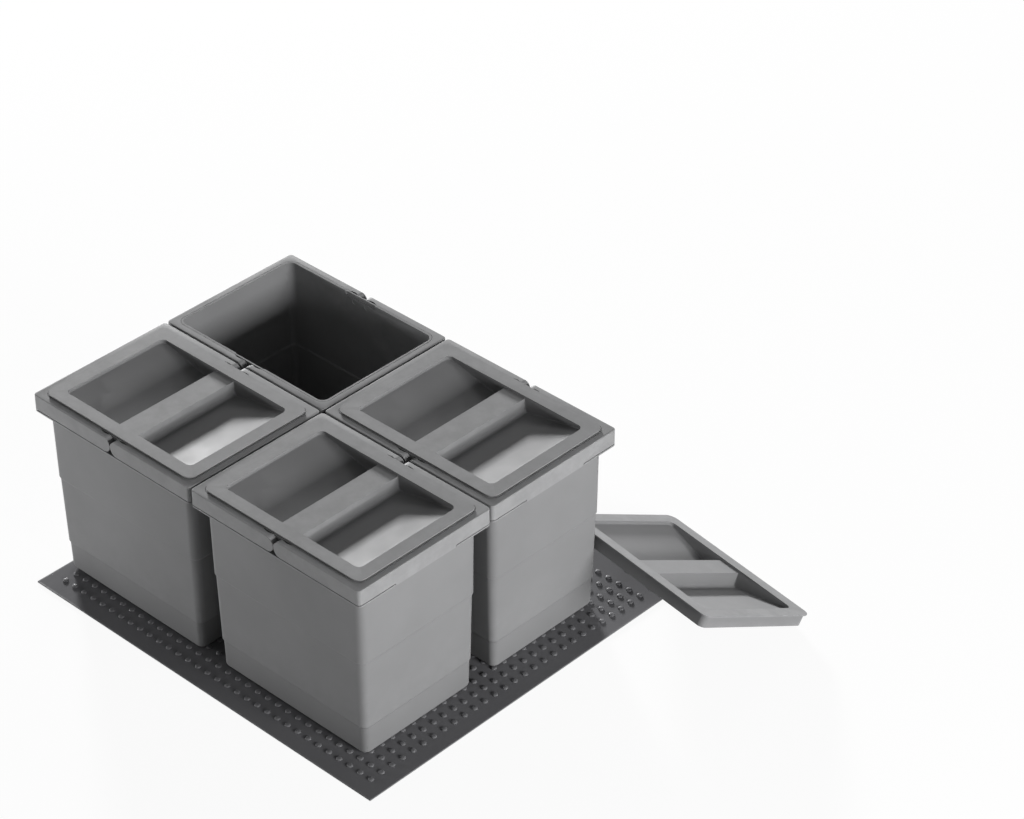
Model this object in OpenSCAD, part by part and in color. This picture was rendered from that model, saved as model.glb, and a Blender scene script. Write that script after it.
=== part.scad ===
// Drawer insert for waste sorting: four lidded bins with carrying handles on a studded mat.
// Origin at the middle of the mat's underside. +X along the long side of each bin, +Z up.

/* [Mat] */
// Width of the mat
mat_w = 483; // [475:1:620]
// Depth of the mat
mat_d = 473; // [440:1:620]
// Thickness of the mat's sheet
mat_t = 1.4; // [0.8:0.1:4]
// Rise of the studs above the sheet
stud_rise = 1.6; // [0.6:0.1:4]
// Plain border at each side of the studs
stud_side_border = 17.0; // [8:0.1:40]
// Plain border in front of the studs
stud_front_border = 17.8; // [8:0.1:40]
// Plain border behind the studs
stud_back_border = 67.5; // [20:0.5:100]
// Bins' centre from the mat's centre, along the width
bins_x = -20.3; // [-30:0.1:10]
// Bins' centre from the mat's centre, along the depth
bins_y = -35.7; // [-40:0.1:10]

/* [Bins] */
// Width over the rim
bin_w = 229; // [200:1:260]
// Depth over the rim
bin_d = 174.4; // [150:0.2:200]
// Height of a bin
bin_h = 214.8; // [150:0.2:320]
// Space between neighbouring rims
bin_gap = 2; // [1.5:0.1:6]
// Thickness of the walls and the floor
wall = 2.2; // [1.6:0.1:3]
// Corner radius of the wall at the mouth
wall_corner_r = 10; // [6:0.5:16]
// Radius round the foot
foot_r = 4; // [3.5:0.5:12]
// Slope of the walls, run per unit of rise
draft = 0.0213; // [0.01:0.0001:0.03]
// How far each shoulder steps inwards
step_in = 1; // [0.5:0.1:2]
// Height of a slanted shoulder
step_rise = 2; // [1:0.5:8]
// Height of the upper shoulder above the base
step_upper_h = 115; // [90:1:130]
// Height of the lower shoulder above the base
step_lower_h = 34; // [20:1:60]
// Thickness of the ledge that carries the handles
ledge_t = 2.6; // [2:0.1:4]
// Corner radius of the rim
rim_corner_r = 4; // [2:0.5:7]

/* [Handles] */
// Height of a handle's band
handle_h = 17; // [13:0.5:22]
// Thickness of a handle's band
handle_t = 7.2; // [6:0.1:9]
// Space between a handle and the wall
handle_gap = 0.7; // [0.6:0.1:1.2]
// Space between the two handles' ends
handle_end_gap = 0.5; // [0.4:0.1:2]
// Radius of a handle's pivot pin
pin_r = 3; // [2:0.1:3.5]
// Length of the lip under a handle's crosspiece
lip_w = 80; // [50:1:110]
// Space at each side of the lip
lip_gap = 0.4; // [0.3:0.1:1.5]
// Radius of the finger notch in a handle's arm
notch_r = 13.6; // [12:0.1:20]
// Depth of the finger notch
notch_depth = 1.8; // [0.5:0.1:3]

/* [Lids] */
// Thickness of a lid's flange
lid_t = 2; // [1.5:0.1:3]
// From the wall's outer face in to the flange's edge
lid_inset = 0.5; // [0.4:0.1:1]
// Thickness of a lid's scoops and crossbar
pan_t = 2; // [1.4:0.1:2.5]
// Flat border round the lid's pocket
pocket_border = 14.7; // [11:0.1:22]
// Corner radius of the pocket
pocket_corner_r = 6; // [4:0.5:10]
// Upright step at the outer end of a scoop
scoop_edge_h = 3.5; // [2.5:0.5:8]
// Depth of a scoop at the crossbar, below the flange's top
scoop_depth = 19; // [14:0.5:28]
// Radius at the foot of the crossbar
scoop_foot_r = 5; // [3:0.5:8]
// Width of the crossbar
bar_w = 27.5; // [20:0.5:36]
// From the flange's top down to the crossbar's top
bar_drop = 3; // [2.5:0.1:5]
// Depth of the skirt under the flange
skirt_h = 12; // [8:0.5:16]
// Thickness of the skirt
skirt_t = 1.6; // [1.2:0.1:2.2]
// Space between the skirt and the mouth
skirt_gap = 1; // [0.6:0.1:1.8]

/* [Loose lid] */
// Tilt of the lid that leans on the back right bin, in degrees
loose_tilt = 26; // [20:1:32]
// Turn of that lid about the vertical, in degrees
loose_turn = -8; // [-14:1:-4]
// Place of that lid's centre from the back right bin's centre
loose_x = 166.5; // [150:0.5:175]

/* [Hidden] */

// Share of the inset that comes off the corner radius
corner_fade_share = 0.4;
// Share of the foot's radius by which the base draws in
foot_inset_share = 0.6;
// Share of the corner radius that the foot keeps at least
corner_least_share = 0.15;
// Running clearance round a pivot pin
pin_clear = 0.06;
// From the bore's inner end back to the pin's tip
pin_tip_gap = 0.3;
// Height of the relief at the mouth, beside the pivots
relief_h = 4;
// Depth of the relief into the wall
relief_in = 1;
// Half length of the relief
relief_half = 20;
// Run of the relief's slanted ends
relief_slant = 3.5;
// Middle of the finger notch, along the arm
notch_x = 13;
// Space between the lip's cut-out and the band's inner face
lip_back_gap = 0.3;
// Space between the loose lid and the wall that it leans on
lean_gap = 0.5;
// Overrun of all cuts
cut = 1;
// Segments in a quarter of a wall's corner
corner_steps = 6;
// Segments in a full circle
round_fn = 64;
// Segments in the foot's rounding, and in a scoop's
round_steps = 4;

rim_hx = bin_w / 2;
rim_hy = bin_d / 2;
pitch_x = (bin_w + bin_gap) / 2;
pitch_y = (bin_d + bin_gap) / 2;
base_z = mat_t + stud_rise;
wall_hx = rim_hx - handle_t - handle_gap;
wall_hy = rim_hy - handle_t - handle_gap;
band_z = bin_h - handle_h;
pivot_x = (handle_h + handle_end_gap) / 2;
pivot_z = bin_h - handle_h / 2;
lid_hx = wall_hx - lid_inset;
lid_hy = wall_hy - lid_inset;
lid_corner_r = wall_corner_r - lid_inset;
skirt_hx = wall_hx - wall - skirt_gap;
skirt_hy = wall_hy - wall - skirt_gap;
skirt_r = wall_corner_r - wall - skirt_gap;
pocket_hx = lid_hx - pocket_border;
pocket_hy = lid_hy - pocket_border;
pan_depth = scoop_depth + pan_t;

// Inset of one shoulder at height h above the base
function shoulder(h, top) = step_in * min(1, max(0, (top - h) / step_rise));

// Inset of the wall's outer face at height h, from the mouth's size
function inset(h) = draft * (bin_h - h) + shoulder(h, step_upper_h) + shoulder(h, step_lower_h);

function corner(h) = wall_corner_r - corner_fade_share * inset(h);

// One ring of a rounded rectangle, counter-clockwise
function ring(hx, hy, r, z) = [
    for (q = [0:3])
        for (k = [0:corner_steps])
            let (a = 90 * (q + k / corner_steps), sx = (q == 0 || q == 3) ? 1 : -1, sy = q < 2 ? 1 : -1)
                [sx * (hx - r) + r * cos(a), sy * (hy - r) + r * sin(a), z]
];

// A ring of the wall at height h, a distance in from its outer face
function wall_ring(h, in, z) =
    ring(wall_hx - inset(h) - in, wall_hy - inset(h) - in,
         max(corner(h) - in, corner(h) * corner_least_share), z);

// The rings round the foot, from the base up
function foot_rings(r, in, z) = [
    for (k = [0:round_steps - 1])
        let (a = 90 * k / round_steps, h = z + r * (1 - cos(a)))
            wall_ring(h, in + r * (1 - sin(a)) * foot_inset_share, h)
];

heights = [step_lower_h - step_rise, step_lower_h, step_upper_h - step_rise, step_upper_h];

outer_rings = concat(
    foot_rings(foot_r, 0, 0),
    [wall_ring(foot_r, 0, foot_r)],
    [for (h = heights) wall_ring(h, 0, h)],
    [wall_ring(bin_h, 0, bin_h)]
);

inner_rings = concat(
    foot_rings(foot_r - wall, wall, wall),
    [wall_ring(foot_r, wall, foot_r)],
    [for (h = heights) wall_ring(h, wall, h)],
    [wall_ring(bin_h, wall, bin_h + cut)]
);

// Solid through a stack of rings that have as many points each
module loft(rings) {
    n = len(rings[0]);
    last = len(rings) - 1;
    polyhedron(
        points = [for (r = rings) each r],
        faces = concat(
            [[for (i = [0:n - 1]) i]],
            [for (j = [0:last - 1]) for (i = [0:n - 1])
                [j * n + i, (j + 1) * n + i, (j + 1) * n + (i + 1) % n, j * n + (i + 1) % n]],
            [[for (i = [n - 1:-1:0]) last * n + i]]
        ),
        convexity = 4
    );
}

// Rounded rectangle in plan
module plan(hx, hy, r) {
    square([2 * (hx - r), 2 * hy], center = true);
    square([2 * hx, 2 * (hy - r)], center = true);
    for (sx = [-1, 1], sy = [-1, 1])
        translate([sx * (hx - r), sy * (hy - r)]) circle(r = r, $fn = round_fn);
}

module both_sides() {
    children();
    mirror([0, 1, 0]) children();
}

module both_ends() {
    children();
    mirror([1, 0, 0]) children();
}

// The mat: a thin sheet with the field that its stud tops form
module mat() {
    field_d = mat_d - stud_front_border - stud_back_border;
    color([0.20, 0.20, 0.21]) {
        translate([-mat_w / 2, -mat_d / 2, 0]) cube([mat_w, mat_d, mat_t]);
        translate([-mat_w / 2 + stud_side_border, -mat_d / 2 + stud_front_border, 0])
            cube([mat_w - 2 * stud_side_border, field_d, mat_t + stud_rise]);
    }
}

// One bin: drafted wall, floor, ledge for the handles and the pivots' bores
module tub() {
    color([0.45, 0.45, 0.46])
    difference() {
        union() {
            loft(outer_rings);
            translate([0, 0, band_z - ledge_t]) linear_extrude(ledge_t) plan(rim_hx, rim_hy, rim_corner_r);
        }
        loft(inner_rings);
        both_ends() lip_cutout();
        both_ends() both_sides() pivot_bore();
        both_sides() mouth_relief();
    }
}

module lip_cutout() {
    back = rim_hx - handle_t - lip_back_gap;
    translate([back, -lip_w / 2 - lip_gap, band_z - ledge_t - cut])
        cube([rim_hx - back + cut, lip_w + 2 * lip_gap, ledge_t + 2 * cut]);
}

module pivot_bore() {
    translate([pivot_x, wall_hy - 2 * wall, pivot_z])
        rotate([-90, 0, 0]) cylinder(r = pin_r + pin_clear, h = 2 * wall + cut, $fn = round_fn);
}

module mouth_relief() {
    inner = wall_hy - wall;
    translate([0, 0, bin_h - relief_h])
        linear_extrude(relief_h + cut)
            polygon([[-relief_half - relief_slant, inner - cut], [relief_half + relief_slant, inner - cut],
                     [relief_half + relief_slant, inner], [relief_half, inner + relief_in],
                     [-relief_half, inner + relief_in], [-relief_half - relief_slant, inner]]);
}

// The handle of a bin's right-hand half: a U-shaped band with a pin at each end
module bail() {
    color([0.46, 0.46, 0.47])
    difference() {
        union() {
            intersection() {
                translate([0, 0, band_z])
                    linear_extrude(handle_h)
                        difference() {
                            plan(rim_hx, rim_hy, rim_corner_r);
                            plan(rim_hx - handle_t, rim_hy - handle_t, wall_corner_r + handle_gap);
                        }
                band_side_view();
            }
            translate([rim_hx - handle_t, -lip_w / 2, band_z - ledge_t])
                cube([handle_t, lip_w, ledge_t + handle_h / 2]);
            both_sides() pivot_pin();
        }
        both_sides() finger_notch();
    }
}

// What the band keeps when it is seen from the side: one round end at the pivot
module band_side_view() {
    translate([pivot_x, -rim_hy - cut, band_z - cut])
        cube([rim_hx - pivot_x + cut, bin_d + 2 * cut, handle_h + 2 * cut]);
    translate([pivot_x, -rim_hy - cut, pivot_z])
        rotate([-90, 0, 0]) cylinder(d = handle_h, h = bin_d + 2 * cut, $fn = round_fn);
}

module pivot_pin() {
    tip = wall_hy - inset(pivot_z) - wall + pin_tip_gap;
    translate([pivot_x, tip, pivot_z])
        rotate([-90, 0, 0]) cylinder(r = pin_r, h = rim_hy - handle_t / 2 - tip, $fn = round_fn);
}

module finger_notch() {
    translate([notch_x, rim_hy - handle_t + notch_depth - notch_r, bin_h - relief_h])
        cylinder(r = notch_r, h = relief_h + cut, $fn = round_fn);
}

// Outline of a scoop from the side, on the right of the crossbar, grown all round
function scoop_outline(grow, top) =
    let (bx = bar_w / 2, cx = bx + scoop_foot_r, cz = scoop_foot_r - scoop_depth, r = scoop_foot_r + grow,
         ex = pocket_hx + grow, ez = -scoop_edge_h - grow,
         reach = norm([ex - cx, ez - cz]),
         stop = atan2(ez - cz, ex - cx) - acos(r / reach) + 360)
    concat(
        [[bx - grow, top]],
        [for (k = [0:round_steps * 2])
            let (a = 180 + (stop - 180) * k / (round_steps * 2))
                [cx + r * cos(a), cz + r * sin(a)]],
        [[ex, ez], [ex, top]]
    );

module scoop(grow, top) {
    half = pocket_hy + grow;
    intersection() {
        translate([0, half, 0])
            rotate([90, 0, 0]) linear_extrude(2 * half) polygon(scoop_outline(grow, top));
        translate([0, 0, -pan_depth - cut])
            linear_extrude(pan_depth + top + 2 * cut) plan(pocket_hx + grow, half, pocket_corner_r + grow);
    }
}

// A lid, its origin at the middle of the flange's top face
module lid() {
    color([0.49, 0.49, 0.50])
    difference() {
        union() {
            translate([0, 0, -lid_t]) linear_extrude(lid_t) plan(lid_hx, lid_hy, lid_corner_r);
            translate([0, 0, -lid_t - skirt_h])
                linear_extrude(skirt_h + lid_t / 2)
                    difference() {
                        plan(skirt_hx, skirt_hy, skirt_r);
                        plan(skirt_hx - skirt_t, skirt_hy - skirt_t, skirt_r - skirt_t);
                    }
            both_ends() scoop(pan_t, -lid_t / 2);
            crossbar();
        }
        both_ends() scoop(0, cut);
        bar_recess();
    }
}

module crossbar() {
    half = pocket_hy + pan_t;
    translate([-bar_w / 2, -half, -bar_drop - pan_t]) cube([bar_w, 2 * half, bar_drop + pan_t - lid_t / 2]);
}

module bar_recess() {
    over = scoop_foot_r;
    translate([-bar_w / 2 - over, -pocket_hy, -bar_drop])
        cube([bar_w + 2 * over, 2 * pocket_hy, bar_drop + cut]);
}

// Places of the pieces
module at_bin(sx, sy) {
    translate([bins_x + sx * pitch_x, bins_y + sy * pitch_y, base_z]) children();
}

module seated_lid() {
    translate([0, 0, bin_h + lid_t]) lid();
}

module left_handle() {
    mirror([1, 0, 0]) bail();
}

// Reach of the leaning lid in plan, from its centre to the point that meets the wall
function lean_reach(half, drop) = half * cos(loose_tilt) + drop * sin(loose_tilt);
function lean_drop(half, drop) = half * sin(loose_tilt) + drop * cos(loose_tilt);

// Distance that the wall's corner post asks for, when met at height z
function lean_need(half, drop) =
    let (h = loose_z + half * sin(loose_tilt) - drop * cos(loose_tilt) - base_z,
         ax = wall_hx - inset(h) - corner(h), ay = wall_hy - inset(h) - corner(h))
    -sin(loose_turn) * ax + cos(loose_turn) * ay + corner(h) + lean_gap + lean_reach(half, drop);

loose_z = max(lean_drop(lid_hy, lid_t), lean_drop(skirt_hy, lid_t + skirt_h),
              lean_drop(pocket_hy + pan_t, pan_depth));
loose_need = max(lean_need(lid_hy, lid_t), lean_need(skirt_hy, lid_t + skirt_h));
loose_y = (loose_need + sin(loose_turn) * loose_x) / cos(loose_turn);

module bin_front_left() at_bin(-1, -1) tub();
module bin_front_right() at_bin(1, -1) tub();
module bin_back_left() at_bin(-1, 1) tub();
module bin_back_right() at_bin(1, 1) tub();
module handle_front_left_l() at_bin(-1, -1) left_handle();
module handle_front_left_r() at_bin(-1, -1) bail();
module handle_front_right_l() at_bin(1, -1) left_handle();
module handle_front_right_r() at_bin(1, -1) bail();
module handle_back_left_l() at_bin(-1, 1) left_handle();
module handle_back_left_r() at_bin(-1, 1) bail();
module handle_back_right_l() at_bin(1, 1) left_handle();
module handle_back_right_r() at_bin(1, 1) bail();
module lid_front_left() at_bin(-1, -1) seated_lid();
module lid_front_right() at_bin(1, -1) seated_lid();
module lid_back_right() at_bin(1, 1) seated_lid();
module lid_loose() {
    translate([bins_x + pitch_x + loose_x, bins_y + pitch_y + loose_y, loose_z])
        rotate([0, 0, loose_turn]) rotate([-loose_tilt, 0, 0]) lid();
}

mat();
bin_front_left();
bin_front_right();
bin_back_left();
bin_back_right();
handle_front_left_l();
handle_front_left_r();
handle_front_right_l();
handle_front_right_r();
handle_back_left_l();
handle_back_left_r();
handle_back_right_l();
handle_back_right_r();
lid_front_left();
lid_front_right();
lid_back_right();
lid_loose();
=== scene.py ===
"""Looks of a waste sorting set for a pull-out: a studded mat, four bins, their rim handles and their lids.

Every length is in metres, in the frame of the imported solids: origin under the middle of the mat, +Z up.
"""
import logging
import math
from dataclasses import dataclass
from enum import Enum
from typing import Callable, Optional, Sequence

import bmesh
import bpy
from mathutils import Matrix, Vector


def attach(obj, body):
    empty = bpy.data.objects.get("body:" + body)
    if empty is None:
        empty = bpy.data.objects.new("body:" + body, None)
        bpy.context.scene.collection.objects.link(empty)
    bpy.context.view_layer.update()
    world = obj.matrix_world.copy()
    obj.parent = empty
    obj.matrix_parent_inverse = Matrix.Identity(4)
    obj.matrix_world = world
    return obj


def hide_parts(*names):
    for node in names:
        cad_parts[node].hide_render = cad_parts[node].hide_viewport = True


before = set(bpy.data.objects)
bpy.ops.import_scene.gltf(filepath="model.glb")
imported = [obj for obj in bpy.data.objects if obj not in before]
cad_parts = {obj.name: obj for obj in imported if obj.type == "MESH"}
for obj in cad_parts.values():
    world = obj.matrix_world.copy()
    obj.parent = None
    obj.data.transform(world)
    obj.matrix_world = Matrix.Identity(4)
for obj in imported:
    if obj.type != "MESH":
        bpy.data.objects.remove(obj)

LOG = logging.getLogger("waste_sorting_set")
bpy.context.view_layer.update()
OVERRUN = 0.001  # how far a cutting solid stands past the face that it cuts
TOUCH = 1e-6  # lengths that differ by less than this are the same
HAIR = 1e-5  # points nearer to each other than this are merged
LEVEL = 0.99  # a face looks straight up where its normal rises more than this
CORNER_STEPS = 8  # faces round a corner
SOFT_STEPS = 3  # faces round a softened edge
FINE_STEPS = 2  # faces round a fine edge
PIN_SIDES = 32  # faces round a pin and its bore
SMOOTH_ANGLE = 13.0  # edges flatter than this, in degrees, are shaded smooth
MID_SPAN = (0.3, 0.7)  # the middle values of a noise, which are drawn out to the full range


class Pick(Enum):
    """What an edit-mode selection is made of."""

    VERT = "VERT"
    EDGE = "EDGE"
    FACE = "FACE"


class Join(Enum):
    """How one solid is combined with another."""

    ADD = "UNION"
    CUT = "DIFFERENCE"
    KEEP = "INTERSECT"


class Spot(Enum):
    """The place of a bin in the group: its column along X and its row along Y."""

    FRONT_LEFT = (-1, -1)
    FRONT_RIGHT = (1, -1)
    BACK_LEFT = (-1, 1)
    BACK_RIGHT = (1, 1)

    @property
    def label(self) -> str:
        """The spot's name as the nodes spell it."""
        return self.name.lower()


# ---------------------------------------- workbench


class Bench:
    """The modelling moves that every piece shares."""

    @staticmethod
    def take(obj: bpy.types.Object) -> None:
        """Selects one object alone and makes it the active one.

        Args:
            obj: The object.
        """
        bpy.ops.object.select_all(action="DESELECT")
        obj.select_set(True)
        bpy.context.view_layer.objects.active = obj

    @staticmethod
    def block(name: str, low: Sequence[float], high: Sequence[float]) -> bpy.types.Object:
        """Adds a cube at its size and place.

        Args:
            name: The object's name.
            low: The lowest corner.
            high: The highest corner.

        Returns:
            The block, with its place in its mesh.
        """
        bpy.ops.object.select_all(action="DESELECT")
        size = [b - a for a, b in zip(low, high)]
        middle = [(a + b) / 2 for a, b in zip(low, high)]
        bpy.ops.mesh.primitive_cube_add(size=1, location=middle)
        obj = bpy.context.active_object
        obj.scale = size
        obj.name = name
        Bench.settle(obj)
        return obj

    @staticmethod
    def rod(radius: float, length: float, place: Sequence[float], sides: int = PIN_SIDES,
            turn: float = 90.0) -> bpy.types.Object:
        """Adds a cylinder at its size and place.

        Args:
            radius: Its radius.
            length: Its length.
            place: Its middle.
            sides: Faces round it.
            turn: Its turn about X, in degrees: 90 lays it along Y.

        Returns:
            The cylinder, with its place in its mesh.
        """
        bpy.ops.object.select_all(action="DESELECT")
        bpy.ops.mesh.primitive_cylinder_add(vertices=sides, radius=radius, depth=length, location=place,
                                            rotation=(math.radians(turn), 0, 0))
        obj = bpy.context.active_object
        Bench.settle(obj)
        return obj

    @staticmethod
    def settle(obj: bpy.types.Object) -> None:
        """Puts the object's place, turn and scale into its mesh."""
        Bench.take(obj)
        bpy.ops.object.transform_apply(location=True, rotation=True, scale=True)

    @staticmethod
    def select(obj: bpy.types.Object, kind: Pick, test: Callable) -> None:
        """Selects the elements of the mesh in edit mode that pass a test.

        Args:
            obj: The object in edit mode.
            kind: Which elements are tested.
            test: Says whether an element is taken.
        """
        bpy.ops.mesh.select_mode(type=kind.value)
        bpy.ops.mesh.select_all(action="DESELECT")
        mesh = bmesh.from_edit_mesh(obj.data)
        mesh.normal_update()
        for item in {Pick.VERT: mesh.verts, Pick.EDGE: mesh.edges, Pick.FACE: mesh.faces}[kind]:
            if test(item):
                item.select_set(True)
        mesh.select_flush_mode()
        bmesh.update_edit_mesh(obj.data)

    @staticmethod
    def round_edges(obj: bpy.types.Object, test: Callable, radius: float, steps: int) -> None:
        """Rounds the edges of a block that pass a test.

        Args:
            obj: The object, in object mode.
            test: Says whether an edge is rounded.
            radius: The radius of the rounding.
            steps: How many faces make the rounding.
        """
        Bench.take(obj)
        bpy.ops.object.mode_set(mode="EDIT")
        Bench.select(obj, Pick.EDGE, test)
        bpy.ops.mesh.bevel(offset=radius, segments=steps, affect="EDGES", clamp_overlap=True)
        bpy.ops.object.mode_set(mode="OBJECT")

    @staticmethod
    def combine(obj: bpy.types.Object, other: bpy.types.Object, how: Join) -> None:
        """Combines a solid with another one.

        Args:
            obj: The solid that stays.
            other: The solid that is used up.
            how: How the two are combined.
        """
        Bench.take(obj)
        step = obj.modifiers.new("combine", "BOOLEAN")
        step.operation = how.value
        step.solver = "EXACT"
        step.object = other
        bpy.ops.object.modifier_apply(modifier=step.name)
        bpy.data.objects.remove(other, do_unlink=True)

    @staticmethod
    def soften(obj: bpy.types.Object, width: float, angle: float = 35.0) -> None:
        """Rounds every sharp edge of a solid, as a moulding's edges are.

        Args:
            obj: The solid.
            width: The width of the rounding.
            angle: Edges sharper than this, in degrees, are rounded.
        """
        Bench.clean(obj)
        step = obj.modifiers.new("soften", "BEVEL")
        step.width = width
        step.segments = SOFT_STEPS
        step.limit_method = "ANGLE"
        step.angle_limit = math.radians(angle)
        step.miter_outer = "MITER_ARC"
        step.use_clamp_overlap = True
        bpy.ops.object.modifier_apply(modifier=step.name)

    @staticmethod
    def clean(obj: bpy.types.Object, flat: float = 0.5) -> None:
        """Merges doubles and the flat faces that a cut has split.

        Args:
            obj: The solid.
            flat: Faces that meet flatter than this, in degrees, are merged.
        """
        Bench.take(obj)
        bpy.ops.object.mode_set(mode="EDIT")
        bpy.ops.mesh.select_mode(type="VERT")
        bpy.ops.mesh.select_all(action="SELECT")
        bpy.ops.mesh.remove_doubles(threshold=HAIR)
        bpy.ops.mesh.dissolve_limited(angle_limit=math.radians(flat))
        bpy.ops.mesh.select_all(action="SELECT")
        bpy.ops.mesh.normals_make_consistent(inside=False)
        bpy.ops.object.mode_set(mode="OBJECT")

    @staticmethod
    def smooth(obj: bpy.types.Object, angle: float = SMOOTH_ANGLE) -> None:
        """Shades a finished piece smooth up to an angle, in degrees."""
        Bench.take(obj)
        bpy.ops.object.shade_smooth_by_angle(angle=math.radians(angle))

    @staticmethod
    def placed(obj: bpy.types.Object, name: str, place: Matrix) -> bpy.types.Object:
        """Copies a finished shape to its place.

        Args:
            obj: The shape, at its own origin.
            name: The copy's name.
            place: Where the copy goes; a mirrored place is allowed.

        Returns:
            The copy, with its own mesh and its place in that mesh.
        """
        copy = obj.copy()
        copy.data = obj.data.copy()
        copy.name = name
        copy.data.name = name
        bpy.context.scene.collection.objects.link(copy)
        copy.matrix_world = place
        Bench.settle(copy)
        if place.to_3x3().determinant() < 0:
            bpy.ops.object.mode_set(mode="EDIT")
            bpy.ops.mesh.select_all(action="SELECT")
            bpy.ops.mesh.normals_make_consistent(inside=False)
            bpy.ops.object.mode_set(mode="OBJECT")
        return copy


def upright(edge: bmesh.types.BMEdge) -> bool:
    """True for an edge that runs straight up."""
    a, b = (v.co for v in edge.verts)
    return abs(a.x - b.x) < TOUCH and abs(a.y - b.y) < TOUCH


def rounded_block(name: str, half_x: float, half_y: float, radius: float,
                  low: float, high: float) -> bpy.types.Object:
    """A block about the Z axis with rounded upright edges.

    Args:
        name: The object's name.
        half_x: Half its size along X.
        half_y: Half its size along Y.
        radius: The radius of its corners.
        low: Its lowest height.
        high: Its greatest height.

    Returns:
        The block.
    """
    obj = Bench.block(name, (-half_x, -half_y, low), (half_x, half_y, high))
    Bench.round_edges(obj, upright, radius, CORNER_STEPS)
    return obj


@dataclass(frozen=True)
class Ring:
    """One level of a wall that is a rounded rectangle in plan."""

    height: float
    half_x: float
    half_y: float
    radius: float


def stack(name: str, rings: Sequence[Ring]) -> bpy.types.Object:
    """A closed solid through a stack of rings, drawn up from its lowest one.

    Args:
        name: The object's name.
        rings: The rings, from the lowest up.

    Returns:
        The solid.
    """
    first, second = rings[0], rings[1]
    obj = rounded_block(name, second.half_x, second.half_y, second.radius, first.height, second.height)
    bpy.ops.object.mode_set(mode="EDIT")

    def refit(old: Ring, new: Ring) -> None:
        """Moves the selected ring of corners from one size to another.

        Args:
            old: The size that it has.
            new: The size that it gets.
        """
        mesh = bmesh.from_edit_mesh(obj.data)
        for vert in (v for v in mesh.verts if v.select):
            sx, sy = math.copysign(1, vert.co.x), math.copysign(1, vert.co.y)
            arm_x = (abs(vert.co.x) - (old.half_x - old.radius)) / old.radius
            arm_y = (abs(vert.co.y) - (old.half_y - old.radius)) / old.radius
            vert.co.x = sx * (new.half_x - new.radius + new.radius * arm_x)
            vert.co.y = sy * (new.half_y - new.radius + new.radius * arm_y)
        bmesh.update_edit_mesh(obj.data)

    Bench.select(obj, Pick.FACE, lambda f: f.normal.z < -LEVEL)
    refit(second, first)
    for old, new in zip(rings[1:], rings[2:]):
        Bench.select(obj, Pick.FACE, lambda f, z=old.height: (
            f.normal.z > LEVEL and abs(f.calc_center_median().z - z) < TOUCH))
        bpy.ops.mesh.extrude_region_move(TRANSFORM_OT_translate={"value": (0, 0, new.height - old.height)})
        refit(old, new)
    bpy.ops.object.mode_set(mode="OBJECT")
    return obj


# ---------------------------------------- finishes


class Graph:
    """A node tree under construction, a shader group's or a material's."""

    def __init__(self, tree: bpy.types.NodeTree) -> None:
        """Takes the tree to build in."""
        self.tree = tree

    @classmethod
    def blank(cls, owner: bpy.types.ID) -> "Graph":
        """Gives a material or a world an empty node tree.

        Args:
            owner: The material or world.

        Returns:
            The graph of its tree.
        """
        owner.use_nodes = True
        owner.node_tree.nodes.clear()
        return cls(owner.node_tree)

    def add(self, kind: str, **settings: object) -> bpy.types.Node:
        """Adds a node.

        Args:
            kind: The node's type.
            settings: The properties that it gets.

        Returns:
            The node.
        """
        node = self.tree.nodes.new(kind)
        for key, value in settings.items():
            setattr(node, key, value)
        return node

    def link(self, source: bpy.types.NodeSocket, target: bpy.types.NodeSocket) -> None:
        """Joins two sockets."""
        self.tree.links.new(source, target)

    def feed(self, target: bpy.types.NodeSocket, value: object) -> None:
        """Gives a socket a link or a plain value.

        Args:
            target: The socket.
            value: Another socket, or a value.
        """
        if isinstance(value, bpy.types.NodeSocket):
            self.link(value, target)
        else:
            target.default_value = value

    def result(self, node: bpy.types.Node, values: dict, output: object = 0) -> bpy.types.NodeSocket:
        """Feeds a node.

        Args:
            node: The node.
            values: A value or socket for each of its inputs that is fed.
            output: The output that is wanted.

        Returns:
            That output's socket.
        """
        for slot, value in values.items():
            self.feed(node.inputs[slot], value)
        return node.outputs[output]

    def maths(self, operation: str, first: object, second: object) -> bpy.types.NodeSocket:
        """One Math node on two values or sockets."""
        return self.result(self.add("ShaderNodeMath", operation=operation), {0: first, 1: second})

    def span(self, value: object, old: tuple, new: tuple = (0.0, 1.0)) -> bpy.types.NodeSocket:
        """Maps a value from an old span to a new one, clamped."""
        slots = dict(enumerate((value, *old, *new)))
        return self.result(self.add("ShaderNodeMapRange", clamp=True), slots)

    def noise(self, vector: object, scale: object, detail: float, rough: float) -> bpy.types.NodeSocket:
        """The value of one Noise node."""
        slots = {"Vector": vector, "Scale": scale, "Detail": detail, "Roughness": rough}
        return self.result(self.add("ShaderNodeTexNoise"), slots, "Fac")

    def blend(self, share: object, first: object, second: object) -> bpy.types.NodeSocket:
        """A Mix node on two colours."""
        node = self.add("ShaderNodeMix", data_type="RGBA")
        return self.result(node, {0: share, 6: first, 7: second}, 2)

    def crossfade(self, share: object, first: object, second: object) -> bpy.types.NodeSocket:
        """A Mix Shader node on two shaders."""
        return self.result(self.add("ShaderNodeMixShader"), {0: share, 1: first, 2: second})


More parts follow.
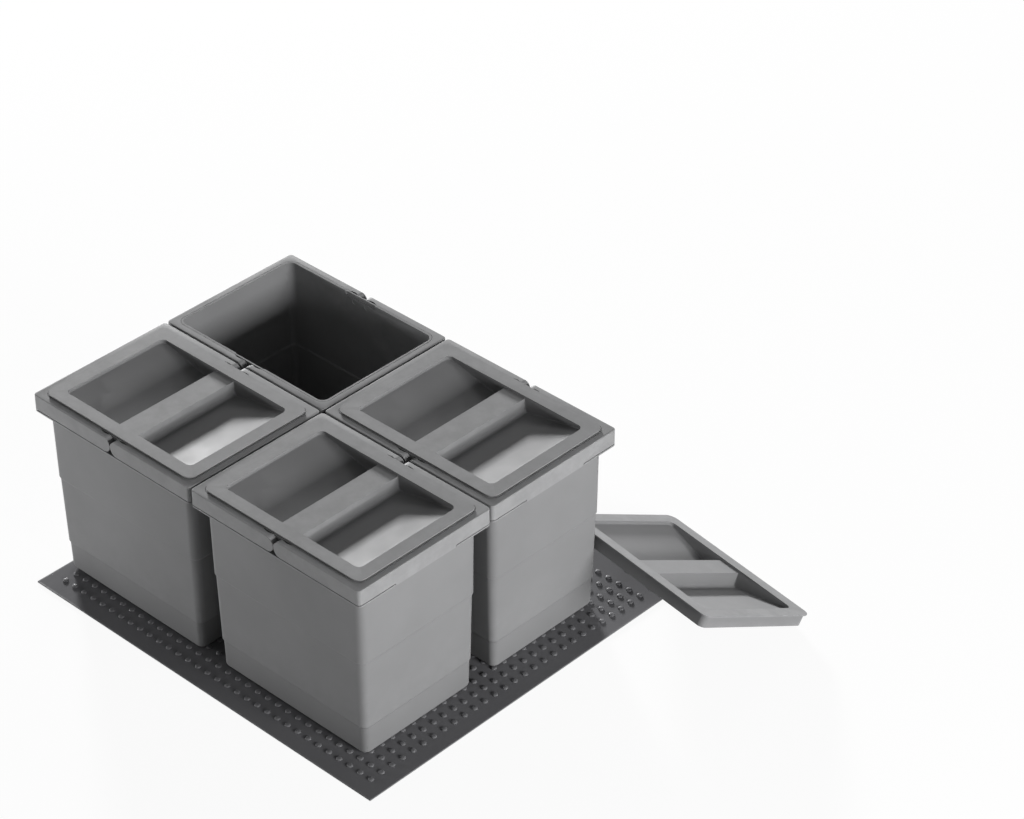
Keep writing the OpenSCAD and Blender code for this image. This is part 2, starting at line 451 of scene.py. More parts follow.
class GroupShelf:
    """The shader groups that the finishes share, each built once."""

    def __init__(self) -> None:
        """Builds every group."""
        self.grain = self._grain()
        self.wear_and_glint = self._wear()
        self.cloud = self._cloud()

    @staticmethod
    def _open(name: str, inputs: dict, outputs: Sequence[str]) -> tuple:
        """Starts a group that takes a place and some values and gives values.

        Args:
            name: The group's name.
            inputs: The default of each value that it takes.
            outputs: The names of the values that it gives.

        Returns:
            The group, its graph, the sockets that it takes from and the sockets that it gives to.
        """
        group = bpy.data.node_groups.new(name, "ShaderNodeTree")
        group.interface.new_socket(name="Vector", in_out="INPUT", socket_type="NodeSocketVector")
        for label, default in inputs.items():
            socket = group.interface.new_socket(name=label, in_out="INPUT", socket_type="NodeSocketFloat")
            socket.default_value = default
        for label in outputs:
            group.interface.new_socket(name=label, in_out="OUTPUT", socket_type="NodeSocketFloat")
        graph = Graph(group)
        return group, graph, graph.add("NodeGroupInput").outputs, graph.add("NodeGroupOutput").inputs

    def _grain(self) -> bpy.types.NodeTree:
        """The fine spark grain of a moulded surface, as a height and a roughness.

        Returns:
            The group.
        """
        group, g, given, out = self._open(
            "moulded_grain", {"Grain Size": 0.0006, "Smooth": 0.4, "Rough": 0.5}, ("Height", "Roughness"))
        pit_scale, pit_span, broad_scale = 0.55, (0.1, 0.7), 0.02
        fine_in_height, broad_in_rough = 0.6, 0.7
        scale = g.maths("DIVIDE", 1.0, given["Grain Size"])
        fine = g.noise(given["Vector"], scale, detail=2.0, rough=0.6)
        slots = {"Vector": given["Vector"], "Scale": g.maths("MULTIPLY", scale, pit_scale)}
        cells = g.result(g.add("ShaderNodeTexVoronoi", feature="SMOOTH_F1"), slots, "Distance")
        pits = g.span(cells, pit_span)
        height = g.maths("ADD", g.maths("MULTIPLY", fine, fine_in_height),
                         g.maths("MULTIPLY", pits, 1 - fine_in_height))
        broad = g.noise(given["Vector"], g.maths("MULTIPLY", scale, broad_scale), detail=3.0, rough=0.6)
        mixed = g.maths("ADD", g.maths("MULTIPLY", broad, broad_in_rough),
                        g.maths("MULTIPLY", fine, 1 - broad_in_rough))
        g.link(height, out["Height"])
        g.link(g.span(mixed, MID_SPAN, (given["Smooth"], given["Rough"])), out["Roughness"])
        return group

    def _wear(self) -> bpy.types.NodeTree:
        """Handling wear, and on the mat's stud tops a painted glint: a mask along the outer edges, broken up
        by noise.

        Returns:
            The group.
        """
        group, g, given, out = self._open("edge_wear_and_glint", {"Reach": 0.53, "Amount": 0.5}, ("Mask",))
        flat, patch_span, patch_least = 0.505, (0.35, 0.65), 0.35
        edge = g.span(g.add("ShaderNodeNewGeometry").outputs["Pointiness"], (flat, given["Reach"]))
        spots = g.noise(given["Vector"], scale=55.0, detail=5.0, rough=0.65)
        patch = g.span(spots, patch_span, (patch_least, 1.0))
        g.link(g.maths("MULTIPLY", g.maths("MULTIPLY", edge, patch), given["Amount"]), out["Mask"])
        return group

    def _cloud(self) -> bpy.types.NodeTree:
        """Soft tone changes and faint scuffs over a broad surface.

        Returns:
            The group.
        """
        group, g, given, out = self._open("tone_cloud", {"Spread": 9.0}, ("Tone", "Scuff"))
        scuff_turn, scuff_stretch, scuff_span = (0.4, 0.7, 0.3), (1.0, 6.0, 1.0), (0.62, 0.78)
        tone = g.noise(given["Vector"], given["Spread"], detail=4.0, rough=0.5)
        slots = {"Vector": given["Vector"], "Rotation": scuff_turn, "Scale": scuff_stretch}
        stretched = g.result(g.add("ShaderNodeMapping"), slots, "Vector")
        lines = g.noise(stretched, scale=90.0, detail=6.0, rough=0.7)
        g.link(tone, out["Tone"])
        g.link(g.span(lines, scuff_span), out["Scuff"])
        return group


@dataclass(frozen=True)
class Moulding:
    """The finish of a moulded plastic or rubber surface."""

    name: str
    tone: tuple
    tone_shift: float = 0.06
    smooth: float = 0.56
    rough: float = 0.70
    grain_size: float = 0.0007
    grain_depth: float = 0.00003
    grain_strength: float = 0.25
    wear_and_glint: float = 0.35
    # How much lighter the tone is where the wear mask falls: rubbed wear on the plastics, and on the mat's
    # stud tops partly a painted glint.
    rub_and_glint: float = 1.55
    rub_and_glint_lift: float = 0.01
    polish: float = 0.08
    scuffs: float = 0.25
    scuff_rough: float = 0.08
    specular: float = 0.11
    refraction: float = 1.49

    def shade(self, factor: float, lift: float = 0.0) -> tuple:
        """The tone, made lighter or darker, as a colour."""
        return tuple(min(1.0, c * factor + lift) for c in self.tone) + (1.0,)

    def build(self, shelf: GroupShelf) -> bpy.types.Material:
        """Makes the material.

        Args:
            shelf: The shared shader groups.

        Returns:
            The material, ready to assign.
        """
        material = bpy.data.materials.new(self.name)
        g = Graph.blank(material)
        out = g.add("ShaderNodeOutputMaterial")
        body = g.add("ShaderNodeBsdfPrincipled")
        where = g.add("ShaderNodeTexCoord").outputs["Object"]
        grain, wear_and_glint, cloud = (g.add("ShaderNodeGroup", node_tree=tree)
                              for tree in (shelf.grain, shelf.wear_and_glint, shelf.cloud))
        for node in (grain, wear_and_glint, cloud):
            g.link(where, node.inputs["Vector"])
        grain.inputs["Grain Size"].default_value = self.grain_size
        grain.inputs["Smooth"].default_value = self.smooth
        grain.inputs["Rough"].default_value = self.rough
        wear_and_glint.inputs["Amount"].default_value = self.wear_and_glint

        dark, light = self.shade(1 - self.tone_shift), self.shade(1 + self.tone_shift)
        # Lighter tone under the wear mask: worn edges, and on the mat's stud tops partly a painted glint.
        worn_and_glint_tone = self.shade(self.rub_and_glint, self.rub_and_glint_lift)
        base = g.blend(g.span(cloud.outputs["Tone"], MID_SPAN), dark, light)
        base = g.blend(g.maths("MULTIPLY", cloud.outputs["Scuff"], self.scuffs), base, light)
        base = g.blend(wear_and_glint.outputs["Mask"], base, worn_and_glint_tone)
        polished = g.maths("MULTIPLY", wear_and_glint.outputs["Mask"], self.polish)
        gloss = g.maths("SUBTRACT", grain.outputs["Roughness"], polished)
        scuffed = g.maths("MULTIPLY", cloud.outputs["Scuff"], self.scuff_rough * self.scuffs)
        gloss = g.maths("ADD", gloss, scuffed)
        bump = g.result(g.add("ShaderNodeBump"), {
            "Strength": self.grain_strength, "Distance": self.grain_depth, "Height": grain.outputs["Height"]})
        shader = g.result(body, {
            "Base Color": base, "Roughness": gloss, "Normal": bump,
            "Specular IOR Level": self.specular, "IOR": self.refraction})
        g.link(shader, out.inputs["Surface"])
        return material


class Wardrobe:
    """Every finish of the set, built once."""

    def __init__(self) -> None:
        """Builds the shared groups and the materials."""
        shelf = GroupShelf()
        # The mat's strong wear mask lightens every stud top: partly wear, partly a painted glint on the
        # studs.
        self.mat = Moulding("mat_rubber", (0.128, 0.128, 0.134), smooth=0.78, rough=0.88, grain_size=0.0009,
                            grain_depth=0.00004, grain_strength=0.3, wear_and_glint=1.3, rub_and_glint=1.1, polish=0.50,
                            scuffs=0.35, specular=0.16).build(shelf)
        self.bin = Moulding("bin_plastic", (0.215, 0.216, 0.219)).build(shelf)
        self.handle = Moulding("handle_plastic", (0.222, 0.223, 0.226), smooth=0.52, rough=0.66,
                               wear_and_glint=0.45).build(shelf)
        # The lids' tone is set darker than the bins' plastic to hold back the light on their tops: painted
        # shade.
        self.lid = Moulding("lid_plastic", (0.203, 0.204, 0.207), smooth=0.48, rough=0.60,
                            wear_and_glint=0.40).build(shelf)

    @staticmethod
    def dress(obj: bpy.types.Object, material: bpy.types.Material) -> None:
        """Gives a piece its one material."""
        obj.data.materials.clear()
        obj.data.materials.append(material)


# ---------------------------------------- the set's plan


@dataclass(frozen=True)
class Plan:
    """Where the bins stand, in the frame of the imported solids."""

    middle_x: float = -0.0203
    middle_y: float = -0.0357
    pitch_x: float = 0.1155
    pitch_y: float = 0.0882
    base: float = 0.0030
    bin_height: float = 0.2148
    rim_half_x: float = 0.1145
    rim_half_y: float = 0.0872
    rim_radius: float = 0.004
    wall_half_x: float = 0.1066
    wall_half_y: float = 0.0793
    wall: float = 0.0022
    band: float = 0.0072
    band_height: float = 0.017
    pivot_x: float = 0.00875
    pin_radius: float = 0.003
    ledge: float = 0.0026
    ledge_gap: float = 0.0009

    def at(self, spot: Spot) -> Matrix:
        """The place of a bin's own origin, under the middle of its base."""
        column, row = spot.value
        return Matrix.Translation(
            (self.middle_x + column * self.pitch_x, self.middle_y + row * self.pitch_y, self.base))

    @property
    def band_low(self) -> float:
        """Height of the handles' underside above the bin's base."""
        return self.bin_height - self.band_height

    @property
    def pivot_z(self) -> float:
        """Height of the handles' pins above the bin's base."""
        return self.bin_height - self.band_height / 2


def declare(obj: bpy.types.Object, body: str, node: str) -> None:
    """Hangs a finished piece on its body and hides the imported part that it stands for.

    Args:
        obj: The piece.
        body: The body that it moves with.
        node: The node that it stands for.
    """
    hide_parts(node)
    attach(obj, body)
    LOG.info("%s: %d faces", obj.name, len(obj.data.polygons))


# ---------------------------------------- mat


@dataclass
class StuddedMat:
    """The thin mat with its square field of domed studs."""

    half_x: float = 0.2415
    half_y: float = 0.2365
    sheet: float = 0.0014
    hem: float = 0.0010
    columns: int = 32
    rows: int = 28
    first_x: float = -0.2216
    last_x: float = 0.2216
    first_y: float = -0.2157
    last_y: float = 0.1660
    stud_half: float = 0.0029
    stud_corner: float = 0.0017
    dome: tuple = ((0.0001, 0.0007), (0.0003, 0.0004), (0.0006, 0.0003), (0.0009, 0.0001))
    cell_spare: float = 1.1
    smooth_angle: float = 50.0

    def build(self, finish: bpy.types.Material) -> None:
        """Args:
            finish: The mat's material.
        """
        step_x = (self.last_x - self.first_x) / (self.columns - 1)
        step_y = (self.last_y - self.first_y) / (self.rows - 1)
        low = (self.first_x - step_x / 2, self.first_y - step_y / 2)
        high = (self.last_x + step_x / 2, self.last_y + step_y / 2)
        bpy.ops.object.select_all(action="DESELECT")
        bpy.ops.mesh.primitive_grid_add(x_subdivisions=self.columns, y_subdivisions=self.rows, size=1,
                                        location=((low[0] + high[0]) / 2, (low[1] + high[1]) / 2, self.sheet))
        mat = bpy.context.active_object
        mat.name = "studded_mat"
        mat.scale = (high[0] - low[0], high[1] - low[1], 1)
        Bench.settle(mat)
        bpy.ops.object.mode_set(mode="EDIT")
        sides = (
            (0, high[0], (self.half_x - high[0], 0, 0)), (0, low[0], (-self.half_x - low[0], 0, 0)),
            (1, high[1], (0, self.half_y - high[1], 0)), (1, low[1], (0, -self.half_y - low[1], 0)),
        )
        for axis, edge, move in sides:
            Bench.select(mat, Pick.EDGE, lambda e, k=axis, at=edge: (
                all(abs(v.co[k] - at) < TOUCH for v in e.verts)))
            hem_share = self.hem / sum(abs(step) for step in move)
            for share in (1 - 2 * hem_share, hem_share, hem_share):
                part = [step * share for step in move]
                bpy.ops.mesh.extrude_region_move(TRANSFORM_OT_translate={"value": part})
        bpy.ops.mesh.select_all(action="SELECT")
        bpy.ops.mesh.extrude_region_move(TRANSFORM_OT_translate={"value": (0, 0, -self.sheet)})
        bpy.ops.mesh.select_all(action="SELECT")
        bpy.ops.mesh.normals_make_consistent(inside=False)
        self._raise_studs(mat, step_x, step_y, low, high)
        bpy.ops.object.mode_set(mode="OBJECT")
        Bench.smooth(mat, self.smooth_angle)
        Wardrobe.dress(mat, finish)
        declare(mat, "mat", "mat")

    def _raise_studs(self, mat: bpy.types.Object, step_x: float, step_y: float,
                     low: tuple, high: tuple) -> None:
        """Draws a dome up from the middle of each cell of the field.

        Args:
            mat: The mat, in edit mode.
            step_x: The studs' pitch along X.
            step_y: The studs' pitch along Y.
            low: The field's lowest corner.
            high: The field's highest corner.
        """
        def in_field(face: bmesh.types.BMFace) -> bool:
            """Finds the cells of the stud field.

            Args:
                face: A face of the mat.

            Returns:
                True for such a cell.
            """
            c = face.calc_center_median()
            on_top = face.normal.z > LEVEL and c.z > self.sheet / 2
            return on_top and low[0] < c.x < high[0] and low[1] < c.y < high[1]

        Bench.select(mat, Pick.FACE, in_field)
        bpy.ops.mesh.inset(thickness=min(step_x, step_y) / 2 - self.stud_half, use_individual=True)
        square = self.cell_spare * (2 * self.stud_half) ** 2 * max(step_x / step_y, 1)
        bpy.ops.mesh.select_mode(type="VERT")
        bpy.ops.mesh.bevel(offset=self.stud_corner, segments=1, affect="VERTICES", clamp_overlap=True)

        def stud_face(face: bmesh.types.BMFace) -> bool:
            """True for the eight-sided face at the foot of a stud."""
            return len(face.verts) == 8 and in_field(face) and face.calc_area() < square

        Bench.select(mat, Pick.FACE, stud_face)
        for inward, up in self.dome:
            bpy.ops.mesh.inset(thickness=inward, depth=up, use_individual=True)


# ---------------------------------------- bins


@dataclass
class Tub:
    """A bin: drafted walls with two shoulders, a ledge under the rim and bores for the handles' pins."""

    plan: Plan
    draft: float = 0.0213
    step_in: float = 0.001
    step_rise: float = 0.002
    shoulders: tuple = (0.034, 0.115)
    corner: float = 0.010
    corner_fade: float = 0.4
    corner_least: float = 0.0012
    foot: float = 0.004
    foot_share: float = 0.6
    foot_steps: int = 8
    fold: float = 0.0003
    lip_radius: float = 0.0004
    lip_turns: tuple = (0, 30, 60, 90)
    ledge_edge: float = 0.0003
    collar_edge: float = 0.0002
    collar_x: float = 0.10685
    collar_y: float = 0.0798
    collar_radius: float = 0.0103
    grip_half: float = 0.0404
    grip_back: float = 0.1070
    relief_half: float = 0.020
    relief_slant: float = 0.0035
    relief_in: float = 0.001
    relief_drop: float = 0.004
    bore_play: float = 0.00006

    def inset(self, height: float) -> float:
        """How far the wall's outer face lies inside the mouth's size at a height."""
        falls = (min(1.0, max(0.0, (top - height) / self.step_rise)) for top in self.shoulders)
        return self.draft * (self.plan.bin_height - height) + sum(self.step_in * fall for fall in falls)

    def ring(self, height: float, inward: float = 0.0, at: Optional[float] = None) -> Ring:
        """One ring of the wall.

        Args:
            height: The height whose size it has.
            inward: How far it lies inside the wall's outer face.
            at: The height where it is put, if that is another one.

        Returns:
            The ring.
        """
        lost = self.inset(height)
        radius = max(self.corner - self.corner_fade * lost - inward, self.corner_least)
        return Ring(height if at is None else at, self.plan.wall_half_x - lost - inward,
                    self.plan.wall_half_y - lost - inward, radius)

    def rings(self, inward: float) -> list:
        """All rings of one face of the wall, from the base up, but for the mouth.

        Args:
            inward: How far the face lies inside the wall's outer face.

        Returns:
            The rings.
        """
        rings = []
        radius = self.foot - inward
        for k in range(self.foot_steps):
            turn = math.pi / 2 * k / self.foot_steps
            height = inward + radius * (1 - math.cos(turn))
            rings.append(self.ring(height, inward + radius * (1 - math.sin(turn)) * self.foot_share))
        levels = [self.foot]
        for top in self.shoulders:
            low = top - self.step_rise
            levels += [low - self.fold, low, top, top + self.fold]
        return rings + [self.ring(height, inward) for height in levels]

    def shape(self) -> bpy.types.Object:
        """Models one bin at its own origin.

        Returns:
            The bin.
        """
        p = self.plan
        top = p.bin_height
        outer = self.rings(0.0)
        inner = self.rings(p.wall)
        for turn in map(math.radians, self.lip_turns):
            drop = self.lip_radius * (1 - math.sin(turn))
            pull = self.lip_radius * (1 - math.cos(turn))
            outer.append(self.ring(top - drop, p.wall / 2))
            inner.append(self.ring(top - drop, p.wall - pull))
        inner.append(self.ring(top, p.wall - self.lip_radius, at=top + OVERRUN))
        tub = stack("tub", outer)
        ledge_low = p.band_low - p.ledge
        ledge = rounded_block("ledge", p.rim_half_x, p.rim_half_y, p.rim_radius,
                              ledge_low, p.band_low - p.ledge_gap)
        Bench.round_edges(ledge, lambda e: not upright(e), self.ledge_edge, FINE_STEPS)
        Bench.combine(tub, ledge, Join.ADD)
        collar = rounded_block("collar", self.collar_x, self.collar_y, self.collar_radius, ledge_low, top)
        Bench.round_edges(collar, lambda e: all(v.co.z > top - TOUCH for v in e.verts),
                          self.collar_edge, FINE_STEPS)
        Bench.combine(tub, collar, Join.ADD)
        Bench.combine(tub, stack("hollow", inner), Join.CUT)
        self._cut_details(tub)
        Bench.clean(tub)
        Bench.smooth(tub)
        return tub

    def _cut_details(self, tub: bpy.types.Object) -> None:
        """Cuts the grip gaps, the pins' bores and the relief at the mouth.

        Args:
            tub: The bin.
        """
        p = self.plan
        for side in (-1, 1):
            xs = sorted((side * self.grip_back, side * (p.rim_half_x + OVERRUN)))
            gap = Bench.block("grip_gap", (xs[0], -self.grip_half, p.band_low - p.ledge - OVERRUN),
                              (xs[1], self.grip_half, p.band_low + OVERRUN))
            Bench.combine(tub, gap, Join.CUT)
            for end in (-1, 1):
                middle = (end * p.pivot_x, side * (p.wall_half_y - p.wall / 2), p.pivot_z)
                Bench.combine(tub, Bench.rod(p.pin_radius + self.bore_play, 3 * p.wall, middle), Join.CUT)
            inner = p.wall_half_y - p.wall
            ys = sorted((side * (inner - OVERRUN), side * (inner + self.relief_in)))
            half = self.relief_half + self.relief_slant
            relief = Bench.block("relief", (-half, ys[0], p.bin_height - self.relief_drop),
                                 (half, ys[1], p.bin_height + OVERRUN))
            Bench.take(relief)
            bpy.ops.object.mode_set(mode="EDIT")
            Bench.select(relief, Pick.VERT, lambda v, s=side: s * v.co.y > inner)
            bpy.ops.transform.resize(value=(self.relief_half / half, 1, 1), center_override=(0, 0, 0))
            bpy.ops.object.mode_set(mode="OBJECT")
            Bench.combine(tub, relief, Join.CUT)

    def build(self, finish: bpy.types.Material) -> None:
        """Args:
            finish: The bins' material.
        """
        master = self.shape()
        for spot in Spot:
            copy = Bench.placed(master, f"tub_{spot.label}", self.plan.at(spot))
            Wardrobe.dress(copy, finish)
            declare(copy, f"bin_{spot.label}", f"bin_{spot.label}")
        bpy.data.objects.remove(master, do_unlink=True)


# ---------------------------------------- handles


@dataclass
class Bail:
    """A rim handle: half of the rim's band with a round end and a stub pin at each side."""

    plan: Plan
    inner_radius: float = 0.0107
    crown: float = 0.0010
    crown_steps: int = 4
    end_steps: int = 14
    edge: float = 0.0004
    lip_half: float = 0.040
    notch_x: float = 0.013
    notch_radius: float = 0.0136
    notch_depth: float = 0.0018
    notch_drop: float = 0.004
    notch_sides: int = 96
    pin_tip: float = 0.07722

    def shape(self) -> bpy.types.Object:
        """Models the right-hand handle of a bin at the bin's own origin.

        Returns:
            The handle.
        """
        p = self.plan
        band = rounded_block("bail", p.rim_half_x, p.rim_half_y, p.rim_radius, p.band_low, p.bin_height)
        Bench.round_edges(band, lambda e: all(v.co.z > p.bin_height - TOUCH for v in e.verts),
                          self.crown, self.crown_steps)
        core = rounded_block("core", p.rim_half_x - p.band, p.rim_half_y - p.band, self.inner_radius,
                             p.band_low - OVERRUN, p.bin_height + OVERRUN)
        Bench.combine(band, core, Join.CUT)
        half = p.band_height / 2
        reach = p.rim_half_y + OVERRUN
        side = Bench.block("side", (p.pivot_x - half, -reach, p.band_low),
                           (p.rim_half_x + OVERRUN, reach, p.bin_height))
        Bench.round_edges(side, lambda e: all(v.co.x < p.pivot_x for v in e.verts)
                          and abs(e.verts[0].co.z - e.verts[1].co.z) < TOUCH, half - HAIR, self.end_steps)
        Bench.combine(band, side, Join.KEEP)
        lip = Bench.block("lip", (p.rim_half_x - p.band, -self.lip_half, p.band_low - p.ledge),
                          (p.rim_half_x, self.lip_half, p.band_low + half / 2))
        Bench.combine(band, lip, Join.ADD)
        Bench.soften(band, self.edge)
        for end in (-1, 1):
            self._pin_and_notch(band, end)
        Bench.clean(band)
        Bench.smooth(band)
        return band

    def _pin_and_notch(self, band: bpy.types.Object, end: int) -> None:
        """Adds the stub pin and cuts the finger notch at one end.

        Args:
            band: The handle.
            end: 1 for the end at +Y, -1 for the one at -Y.
        """
        p = self.plan
        length = p.rim_half_y - p.band / 2 - self.pin_tip
        pin = Bench.rod(p.pin_radius, length, (p.pivot_x, end * (self.pin_tip + length / 2), p.pivot_z))
        Bench.combine(band, pin, Join.ADD)
        notch_y = p.rim_half_y - p.band + self.notch_depth - self.notch_radius
        middle = (self.notch_x, end * notch_y, p.bin_height - (self.notch_drop - OVERRUN) / 2)
        notch = Bench.rod(self.notch_radius, self.notch_drop + OVERRUN, middle, self.notch_sides, turn=0.0)
        Bench.combine(band, notch, Join.CUT)

    def build(self, finish: bpy.types.Material) -> None:
        """Args:
            finish: The handles' material.
        """
        master = self.shape()
        for spot in Spot:
            for letter, flip in (("l", Matrix.Scale(-1, 4, (1, 0, 0))), ("r", Matrix.Identity(4))):
                node = f"handle_{spot.label}_{letter}"
                copy = Bench.placed(master, f"bail_{spot.label}_{letter}", self.plan.at(spot) @ flip)
                Bench.smooth(copy)
                Wardrobe.dress(copy, finish)
                declare(copy, node, node)
        bpy.data.objects.remove(master, do_unlink=True)


# ---------------------------------------- lids


@dataclass
class Lid:
    """A lid: flange, skirt, and a pocket with a scoop on each side of a sunk crossbar."""

    plan: Plan
    flange: float = 0.002
    brim: float = 0.0012
    undercut: float = 0.0015
    half_x: float = 0.1061
    half_y: float = 0.0788
    corner: float = 0.0095
    edge: float = 0.00055
    pan: float = 0.002
    border: float = 0.0147
    pocket_radius: float = 0.006
    scoop_edge: float = 0.0035
    scoop_depth: float = 0.019
    foot_radius: float = 0.005
    fillet: float = 0.0025
    fillet_steps: int = 5
    past_foot: float = 0.01
    sharp_angle: float = 40.0
    bar_half: float = 0.01375
    bar_drop: float = 0.003
    skirt_depth: float = 0.012
    skirt_half_x: float = 0.1034
    skirt_half_y: float = 0.0761
    skirt_wall: float = 0.0016
    skirt_radius: float = 0.0068
    skirt_draft: float = 0.0004
    loose_place: tuple = (0.2617, 0.1933, 0.04785)
    loose_turn: float = -8.0
    loose_tilt: float = -26.0

    def scoop(self, grow: float, top: float, side: int) -> bpy.types.Object:
        """The solid that fills one scoop, grown all round.

        Args:
            grow: How much it is grown.
            top: The height of its top above the flange's top.
            side: 1 for the scoop at +X, -1 for the one at -X.

        Returns:
            The solid.
        """
        end_x = self.half_x - self.border + grow
        end_y = self.half_y - self.border + grow
        deep, shallow = -self.scoop_depth - grow, -self.scoop_edge - grow
        near = self.bar_half - grow
        solid = Bench.block("scoop", (near, -end_y, deep), (end_x, end_y, top))
        Bench.take(solid)
        bpy.ops.object.mode_set(mode="EDIT")
        far = near + self.past_foot
        Bench.select(solid, Pick.VERT, lambda v: v.co.x > far and v.co.z < top - TOUCH)
        bpy.ops.transform.translate(value=(0, 0, shallow - deep))
        bpy.ops.object.mode_set(mode="OBJECT")
        Bench.round_edges(solid, lambda e: upright(e) and e.verts[0].co.x > far,
                          self.pocket_radius + grow, CORNER_STEPS)
        Bench.round_edges(solid, lambda e: all(
            abs(v.co.x - near) < TOUCH and v.co.z < deep + TOUCH for v in e.verts),
            self.foot_radius + grow, CORNER_STEPS)
        Bench.round_edges(solid, lambda e: self._floor_edge(e, top),
                          self.fillet + grow / 2, self.fillet_steps)
        if side < 0:
            solid.scale = (-1, 1, 1)
            Bench.settle(solid)
        Bench.clean(solid)
        return solid

    def _floor_edge(self, edge: bmesh.types.BMEdge, top: float) -> bool:
        """Finds the edges where a scoop's floor meets its side and end walls.

        Args:
            edge: The edge.
            top: The height of the scoop's top.

        Returns:
            True for such an edge.
        """
        if len(edge.link_faces) != 2 or any(v.co.z > top - TOUCH for v in edge.verts):
            return False
        first, second = (f.normal for f in edge.link_faces)
        return first.angle(second) > math.radians(self.sharp_angle)

    def _skirt_ring(self, height: float, inward: float, at_foot: bool) -> Ring:
        """One ring of the skirt, a distance inside its outer face."""
        lost = inward + (self.skirt_draft if at_foot else 0)
        return Ring(height, self.skirt_half_x - lost, self.skirt_half_y - lost, self.skirt_radius - inward)

    def shape(self) -> bpy.types.Object:
        """Models one lid, its origin in the middle of the flange's top.

        Returns:
            The lid.
        """
        neck = (self.half_x - self.undercut, self.half_y - self.undercut, self.corner - self.undercut)
        face = (self.half_x, self.half_y, self.corner)
        lid = stack("lid", [Ring(-self.flange, *neck), Ring(-self.brim, *neck),
                            Ring(-self.brim, *face), Ring(0, *face)])
        foot = -self.flange - self.skirt_depth
        skirt = stack("skirt", [self._skirt_ring(foot, 0, True),
                                self._skirt_ring(-self.flange / 2, 0, False)])
        inside = stack("inside", [self._skirt_ring(foot - OVERRUN, self.skirt_wall, True),
                                  self._skirt_ring(-self.flange, self.skirt_wall, False)])
        Bench.combine(skirt, inside, Join.CUT)
        Bench.combine(lid, skirt, Join.ADD)
        reach = self.half_y - self.border + self.pan
        for side in (-1, 1):
            Bench.combine(lid, self.scoop(self.pan, -self.flange / 2, side), Join.ADD)
        bar = Bench.block("bar", (-self.bar_half, -reach, -self.bar_drop - self.pan),
                          (self.bar_half, reach, -self.flange / 2))
        Bench.combine(lid, bar, Join.ADD)
        for side in (-1, 1):
            Bench.combine(lid, self.scoop(0.0, OVERRUN, side), Join.CUT)
        wide = self.bar_half + self.foot_radius
        end = self.half_y - self.border
        recess = Bench.block("recess", (-wide, -end, -self.bar_drop), (wide, end, OVERRUN))
        Bench.combine(lid, recess, Join.CUT)
        Bench.soften(lid, self.edge, self.sharp_angle)
        Bench.smooth(lid)
        return lid

    def build(self, finish: bpy.types.Material) -> None:
        """Args:
            finish: The lids' material.
        """
        master = self.shape()
        lift = Matrix.Translation((0, 0, self.plan.bin_height + self.flange))
        covered = (Spot.FRONT_LEFT, Spot.FRONT_RIGHT, Spot.BACK_RIGHT)
        places = {f"lid_{spot.label}": self.plan.at(spot) @ lift for spot in covered}
        turn = Matrix.Rotation(math.radians(self.loose_turn), 4, "Z")
        tilt = Matrix.Rotation(math.radians(self.loose_tilt), 4, "X")
        places["lid_loose"] = Matrix.Translation(self.loose_place) @ turn @ tilt
        for node, place in places.items():
            copy = Bench.placed(master, node.replace("lid", "cover"), place)
            Wardrobe.dress(copy, finish)
            declare(copy, node, node)
        bpy.data.objects.remove(master, do_unlink=True)


# ---------------------------------------- studio


@dataclass(frozen=True)
class Lamp:
    """One soft lamp of the studio."""

    name: str
    place: tuple
    size: tuple
    power: float
    glare: bool = True
    aim: tuple = (0.0, 0.0, 0.2)

    def hang(self) -> None:
        """Adds the lamp to the scene."""
        light = bpy.data.lights.new(self.name, "AREA")
        light.shape = "RECTANGLE"
        light.size, light.size_y = self.size
        light.energy = self.power
        obj = bpy.data.objects.new(self.name, light)
        bpy.context.scene.collection.objects.link(obj)
        obj.location = self.place
        direction = Vector(self.aim) - Vector(self.place)
        obj.rotation_mode = "QUATERNION"
        obj.rotation_quaternion = direction.to_track_quat("-Z", "Y")
        obj.visible_camera = False
        obj.visible_glossy = self.glare


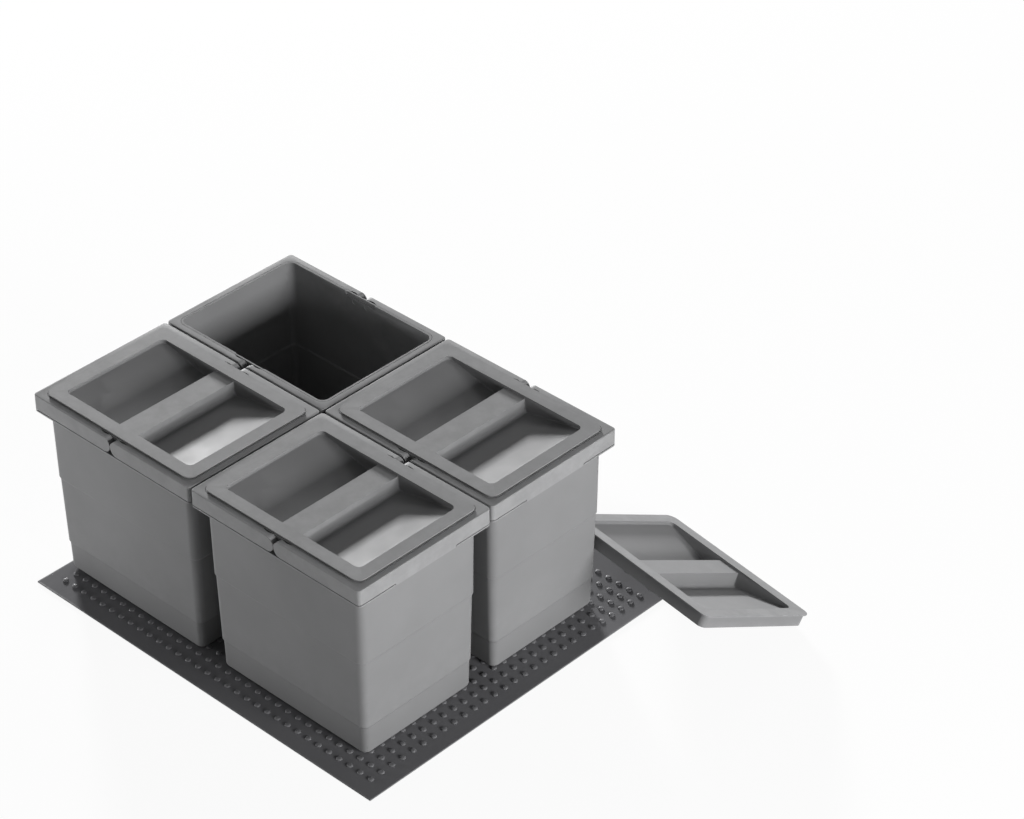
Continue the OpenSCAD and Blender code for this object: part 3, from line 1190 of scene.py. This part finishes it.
@dataclass
class Studio:
    """The camera, the pale floor and the lamps."""

    eye: tuple = (1.94980, -1.83446, 2.10818)
    right: tuple = (0.72586827, 0.68782396, -0.00366688)
    up: tuple = (-0.39604383, 0.42229625, 0.81536198)
    look: tuple = (-0.56237402, 0.59039315, -0.57893989)
    lens: float = 117.057
    sensor: float = 36.0
    clip: tuple = (0.05, 60.0)
    floor_size: float = 14.0
    floor_drop: float = 0.0002
    floor_tone: float = 0.8
    floor_white: float = 0.93
    fill: float = 0.07
    lamps: tuple = (
        Lamp("key", place=(-5.52, 3.44, 1.24), size=(0.68, 0.68), power=770.0, glare=False),
        Lamp("key_glare", place=(-5.29, 3.77, 1.24), size=(0.68, 0.68), power=370.0),
        Lamp("right", place=(2.49, 0.0, 0.66), size=(1.0, 0.5), power=65.0),
        Lamp("back_left", place=(-1.15, 1.99, 1.85), size=(0.9, 0.9), power=12.0),
        Lamp("front_left", place=(-2.1, -1.35, 0.20), size=(0.9, 0.36), power=38.0),
    )

    def set_camera(self) -> None:
        """Makes the camera at the photograph's viewing angle."""
        data = bpy.data.cameras.new("camera")
        data.lens = self.lens
        data.sensor_width = self.sensor
        data.clip_start, data.clip_end = self.clip
        camera = bpy.data.objects.new("camera", data)
        bpy.context.scene.collection.objects.link(camera)
        columns = (Vector(self.right), Vector(self.up), -Vector(self.look), Vector(self.eye))
        camera.matrix_world = Matrix([[c[row] for c in columns] for row in range(3)] + [[0, 0, 0, 1]])
        bpy.context.scene.camera = camera

    def lay_floor(self) -> None:
        """Lays the pale floor, which keeps the set's shadow."""
        bpy.ops.object.select_all(action="DESELECT")
        bpy.ops.mesh.primitive_plane_add(size=self.floor_size, location=(0, 0, -self.floor_drop))
        floor = bpy.context.active_object
        floor.name = "floor"
        material = bpy.data.materials.new("pale_floor")
        g = Graph.blank(material)
        out = g.add("ShaderNodeOutputMaterial")
        matt = g.result(g.add("ShaderNodeBsdfDiffuse"), {"Color": (*[self.floor_tone] * 3, 1)})
        glow = g.result(g.add("ShaderNodeEmission"), {"Strength": 1.0})
        seen = self.seen(g, "Is Camera Ray", "Is Glossy Ray", "Is Transmission Ray")
        g.link(g.crossfade(g.maths("MULTIPLY", seen, self.floor_white), matt, glow), out.inputs["Surface"])
        floor.data.materials.append(material)

    @staticmethod
    def seen(g: Graph, first: str, *others: str) -> bpy.types.NodeSocket:
        """A mask that is 1 for some kinds of rays.

        Args:
            g: The graph that it goes in.
            first: The first kind.
            others: The other kinds.

        Returns:
            The mask's socket.
        """
        rays = g.add("ShaderNodeLightPath")
        mask = rays.outputs[first]
        for kind in others:
            mask = g.maths("MAXIMUM", mask, rays.outputs[kind])
        return mask

    def set_world(self) -> None:
        """Makes a pale world: white to the camera, a dim fill for the set."""
        world = bpy.data.worlds.new("studio")
        bpy.context.scene.world = world
        g = Graph.blank(world)
        out = g.add("ShaderNodeOutputWorld")
        fill, shown = (g.result(g.add("ShaderNodeBackground"), {"Color": (1, 1, 1, 1), "Strength": strength})
                       for strength in (self.fill, 1.0))
        seen = self.seen(g, "Is Camera Ray", "Is Glossy Ray")
        g.link(g.crossfade(seen, fill, shown), out.inputs["Surface"])

    def build(self) -> None:
        """Sets up the camera, the world and the lamps."""
        self.set_camera()
        self.set_world()
        for lamp in self.lamps:
            lamp.hang()
        bpy.context.scene.view_settings.view_transform = "Standard"


def main() -> None:
    """Builds the set, piece by piece, and the studio round it."""
    logging.basicConfig(level=logging.INFO, format="%(name)s: %(message)s")
    plan = Plan()
    studio = Studio()
    studio.build()
    finishes = Wardrobe()
    StuddedMat().build(finishes.mat)
    Tub(plan).build(finishes.bin)
    Bail(plan).build(finishes.handle)
    Lid(plan).build(finishes.lid)
    studio.lay_floor()


if __name__ == "__main__":
    main()
